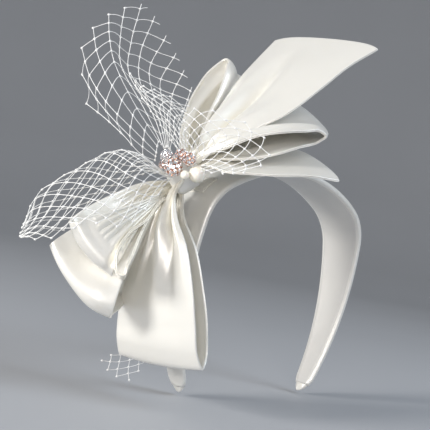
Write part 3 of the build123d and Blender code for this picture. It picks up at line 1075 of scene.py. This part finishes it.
def left_veil():
    """The long puff to the left: a bag of net whose front edge hangs over the left loop."""
    rows = [
        [(-13, -4, -6), (-38, -22, -24), (-52, -24, -36), (-67, -14, -38), (-76, 7, -50), (-80, 27, -52)],
        [(-14, -6, -5), (-42, -21, -8), (-57, -19, -16), (-68, -9, -25), (-77, 8, -37), (-80, 29, -51)],
        [(-14, -2, -4), (-38, -6, 3), (-50, 2, 2), (-61, 15, -10), (-73, 30, -27), (-78, 31, -45)],
        [(-13, 1, -4), (-26, 7, -1), (-34, 20, -8), (-45, 31, -19), (-59, 38, -34), (-74, 36, -48)],
        [(-11, 4, -4), (-20, 11, -5), (-25, 25, -16), (-35, 37, -28), (-49, 42, -47), (-71, 38, -52)],
    ]
    gathered_net("veil_left_puff_net", rows, 9, 10, "veil_left_puff")


def right_veil():
    """A short fan of net that lies over the loops on the right."""
    rows = [
        [(-9, -24, 0), (-5, -38, 1), (0, -49, 3)],
        [(-10, -26, 3), (-4, -45, 9), (8, -58, 13)],
        [(-9, -24, 8), (-6, -42, 20), (2, -51, 27)],
        [(-10, -20, 10), (-17, -30, 21), (-18, -31, 33)],
        [(-12, -16, 10), (-19, -17, 21), (-20, -13, 31)],
    ]
    gathered_net("veil_right_puff_net", rows, 4, 7, "veil_right_puff")


def veil_strip():
    """The end of the net that hangs behind the front loop and curls out below it."""
    rows = [
        [(5, 11, -30), (4, 14, -55), (-2, 16, -82), (-11, 16, -106), (-22, 18, -116)],
        [(10, 9, -29), (11, 13, -55), (8, 15, -84), (-1, 14, -109), (-16, 15, -123)],
        [(14, 8, -28), (16, 10, -55), (14, 11, -85), (7, 12, -112), (-5, 12, -126)],
    ]
    gathered_net("veil_strip_net", rows, 9, 3, "veil_strip")


# ---- beads ----
BORE_RADIUS = 0.35
WIRE_RADIUS = 0.3
WIRE_FOOT = 7.0               # a wire's start, from the knot's centre
CORE_SHARE = 0.86             # radius of the metal under the stones, as a share of the ball's
BEAD_NODES = (
    "crystal_ball", "rhinestone_ball_large", "rhinestone_bead_small", "rhinestone_ball_upper",
    "rhinestone_ball_side", "pearl_small", "pearl_large",
)


def bead_frame(node):
    """Centre, radius and wire direction of a bead."""
    low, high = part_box(node)
    centre = np.array((low + high) / 2) / MM
    radius = max(high - low) / 2 / MM
    return centre, radius, unit(centre - KNOT)


def turned_ball(name, node, material, scale=1.0):
    """A ball bored from the knot's side, round its wire."""
    centre, radius, axis = bead_frame(node)
    radius *= scale
    side = unit(np.cross(axis, np.array((0.3, 0.2, 1.0))))
    other = np.cross(axis, side)
    first = np.arcsin(BORE_RADIUS / radius)
    profile = [(0.02, 0.7 * radius), (BORE_RADIUS, 0.7 * radius)]
    profile += [(radius * sin(a), -radius * cos(a)) for a in np.linspace(first, pi - 0.01, 36)]
    rings = []
    for reach, height in profile:
        angles = np.linspace(0, tau, 56, endpoint=False)
        rings.append([centre + axis * height + (side * cos(a) + other * sin(a)) * reach for a in angles])
    piece = loft(name, rings, material)
    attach(piece, node)
    return piece


STONE_SIDES = 8
STONE_LEVELS = ((1.0, 0.0, 0.0), (0.93, 0.16, 0.0), (0.5, 0.48, 0.5))     # reach, lift and turn


def add_stone(vertices, faces, seat, axes, size, spin):
    """Adds a cut stone with a flat table."""
    first, second, out = axes
    start = len(vertices)
    for reach, lift, turn in STONE_LEVELS:
        for j in range(STONE_SIDES):
            angle = tau * (j + turn) / STONE_SIDES + spin
            spot = seat + (first * cos(angle) + second * sin(angle)) * size * reach
            vertices.append(spot + out * size * lift)
    for level in (start, start + STONE_SIDES):
        for j in range(STONE_SIDES):
            a, b = level + j, level + (j + 1) % STONE_SIDES
            faces.extend([(a, b, b + STONE_SIDES), (a, b + STONE_SIDES, a + STONE_SIDES)])
    faces.append(tuple(start + 2 * STONE_SIDES + j for j in range(STONE_SIDES)))
    faces.append(tuple(start + j for j in range(STONE_SIDES))[::-1])


def paved_ball(node, stone_radius, setting, slot):
    """A metal ball set all over with cut stones, each held by three tiny claws."""
    core = turned_ball(f"{node}_core", node, setting, scale=CORE_SHARE)
    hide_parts(node)
    centre, radius, axis = bead_frame(node)
    count = int(2.9 * (0.92 * radius / stone_radius) ** 2)
    stones, stone_faces, claws, claw_faces = [], [], [], []
    for k in range(count):
        height = 1.0 - 2.0 * (k + 0.5) / count
        turn = k * pi * (3.0 - sqrt(5.0))
        flat = sqrt(1.0 - height * height)
        out = np.array((flat * cos(turn), flat * sin(turn), height))
        if out @ axis < -0.97:
            continue
        first = unit(np.cross(out, np.array((0.31, 0.17, 0.93))))
        second = np.cross(out, first)
        seat = centre + out * radius * CORE_SHARE
        add_stone(stones, stone_faces, seat, (first, second, out), stone_radius, k)
        for j in range(3):
            angle = tau * j / 3 + 0.7 * k
            spot = seat + (first * cos(angle) + second * sin(angle)) * stone_radius * 0.98
            add_ball(claws, claw_faces, spot + out * 0.15 * stone_radius, out, 0.2 * stone_radius, 1.3)
    set_stones = new_piece(f"{node}_stones", stones, stone_faces, cut_stone, smooth=False)
    set_claws = new_piece(f"{node}_claws", claws, claw_faces, setting)
    for piece, part_slot in ((set_stones, "crystal"), (set_claws, slot)):
        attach(piece, node)


def beads():
    """The cluster on the knot."""
    for node in ("pearl_large", "pearl_small"):
        piece = turned_ball(f"{node}_nacre", node, nacre)
        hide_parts(node)
    paved_ball("crystal_ball", 0.75, silver, "crystal")
    rose_gold_stones = {"ball_large": 1.3, "ball_upper": 1.15, "ball_side": 1.15, "bead_small": 0.72}
    for node, stone_radius in rose_gold_stones.items():
        paved_ball(f"rhinestone_{node}", stone_radius, rose_gold, "rose_gold")


def bead_wires():
    """The stiff wire each bead stands on, from inside the bow's middle."""
    vertices, faces = [], []
    for node in BEAD_NODES:
        centre, radius, axis = bead_frame(node)
        foot = KNOT + axis * WIRE_FOOT
        line = [foot, (foot + centre) / 2, centre + axis * 0.4 * radius]
        add_rings(vertices, faces, tube_rings(line, WIRE_RADIUS, sides=12))
    piece = new_piece("bead_wire_stems", vertices, faces, gold)
    stand_in(piece, "band", "bead_wires")


# ---- stage ----
def view_axes():
    """Right, up and back directions of the camera."""
    azimuth, elevation, roll = (radians(a) for a in (VIEW_AZIMUTH, VIEW_ELEVATION, VIEW_ROLL))
    back = Vector((sin(azimuth) * cos(elevation), -cos(azimuth) * cos(elevation), sin(elevation)))
    right = (-back).cross(Vector((0, 0, 1))).normalized()
    up = right.cross(-back)
    return cos(roll) * right + sin(roll) * up, cos(roll) * up - sin(roll) * right, back


def add_camera():
    """The photo's viewpoint."""
    right, up, back = view_axes()
    data = bpy.data.cameras.new("camera")
    data.lens = VIEW_LENS
    data.shift_x, data.shift_y = VIEW_SHIFT
    data.clip_start, data.clip_end = 0.01, 20.0
    camera = bpy.data.objects.new("camera", data)
    place = Matrix((right, up, back)).transposed().to_4x4()
    place.translation = (Vector(VIEW_AIM) + back * VIEW_DISTANCE) * MM
    camera.matrix_world = place
    bpy.context.scene.collection.objects.link(camera)
    bpy.context.scene.camera = camera


def add_softbox(name, aim, offset, size, power, tint):
    """A square area light at an offset from its aim, both in metres."""
    data = bpy.data.lights.new(name, "AREA")
    data.shape = "SQUARE"
    data.size = size
    data.energy = power
    data.color = tint
    light = bpy.data.objects.new(name, data)
    light.location = aim + offset
    light.rotation_mode = "QUATERNION"
    light.rotation_quaternion = (-offset).to_track_quat("-Z", "Y")
    bpy.context.scene.collection.objects.link(light)


def add_floor():
    """A plain grey floor that curves up far away on every side."""
    profile = [(0.6, 0.0), (1.6, 0.0), (2.2, 0.06), (2.8, 0.35), (3.1, 0.9), (3.2, 1.7)]     # metres
    sides = 96
    vertices = []
    low = cad_low.z / MM - 1.5
    for reach, height in profile:
        for a in np.linspace(0, tau, sides, endpoint=False):
            vertices.append((reach * cos(a) / MM, reach * sin(a) / MM, height / MM + low))
    faces = [(a, d, c, b) for a, b, c, d in ring_faces(len(profile), sides)]
    faces.append(tuple(range(sides)))
    grey = colour(0.42, 0.43, 0.45)
    material, tree, shader = start_material("floor", grey, 0.7)
    paint(tree, shader, noise(tree, object_place(tree), 3.0, 3.0), grey, colour(0.45, 0.46, 0.48))
    new_piece("floor", vertices, faces, material)


def add_lights():
    """A warm key from the left, a weak front light, a cool fill from the right and a dim room."""
    right, up, back = view_axes()
    aim = Vector((-0.03, 0.0, -0.04))
    add_softbox("key", aim, right * -1.35 + up * 0.75 + back * 1.05, 0.50, 32.0, (1.0, 0.98, 0.95))
    add_softbox("front", aim, right * 0.10 + up * 0.20 + back * 1.6, 0.6, 8.5, (1.0, 0.95, 0.93))
    add_softbox("fill", aim, right * 1.15 + up * 0.65 + back * 0.30, 0.7, 8.5, (0.78, 0.88, 1.0))
    world = bpy.data.worlds.new("world")
    world.use_nodes = True
    world.node_tree.nodes["Background"].inputs["Color"].default_value = colour(0.80, 0.83, 0.87)
    world.node_tree.nodes["Background"].inputs["Strength"].default_value = 0.40
    bpy.context.scene.world = world
    bpy.context.scene.view_settings.view_transform = "Standard"


add_camera()
add_floor()
add_lights()

upper_back_loop()
right_upper_loop()
left_upper_loop()
left_lower_loop()
left_loop_pleat()
right_lower_tail()
front_loop()
upper_tail()
band()
tip_folds()
bow_base()
bow_gather()
knot_wrap()
upper_veil()
upper_veil_fold()
left_veil()
right_veil()
veil_strip()
beads()
bead_wires()
tack_stitches()
gather_thread()

for section in ("crown", "left_arm", "right_arm"):
    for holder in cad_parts[f"core_{section}"].material_slots:
        holder.material = plastic
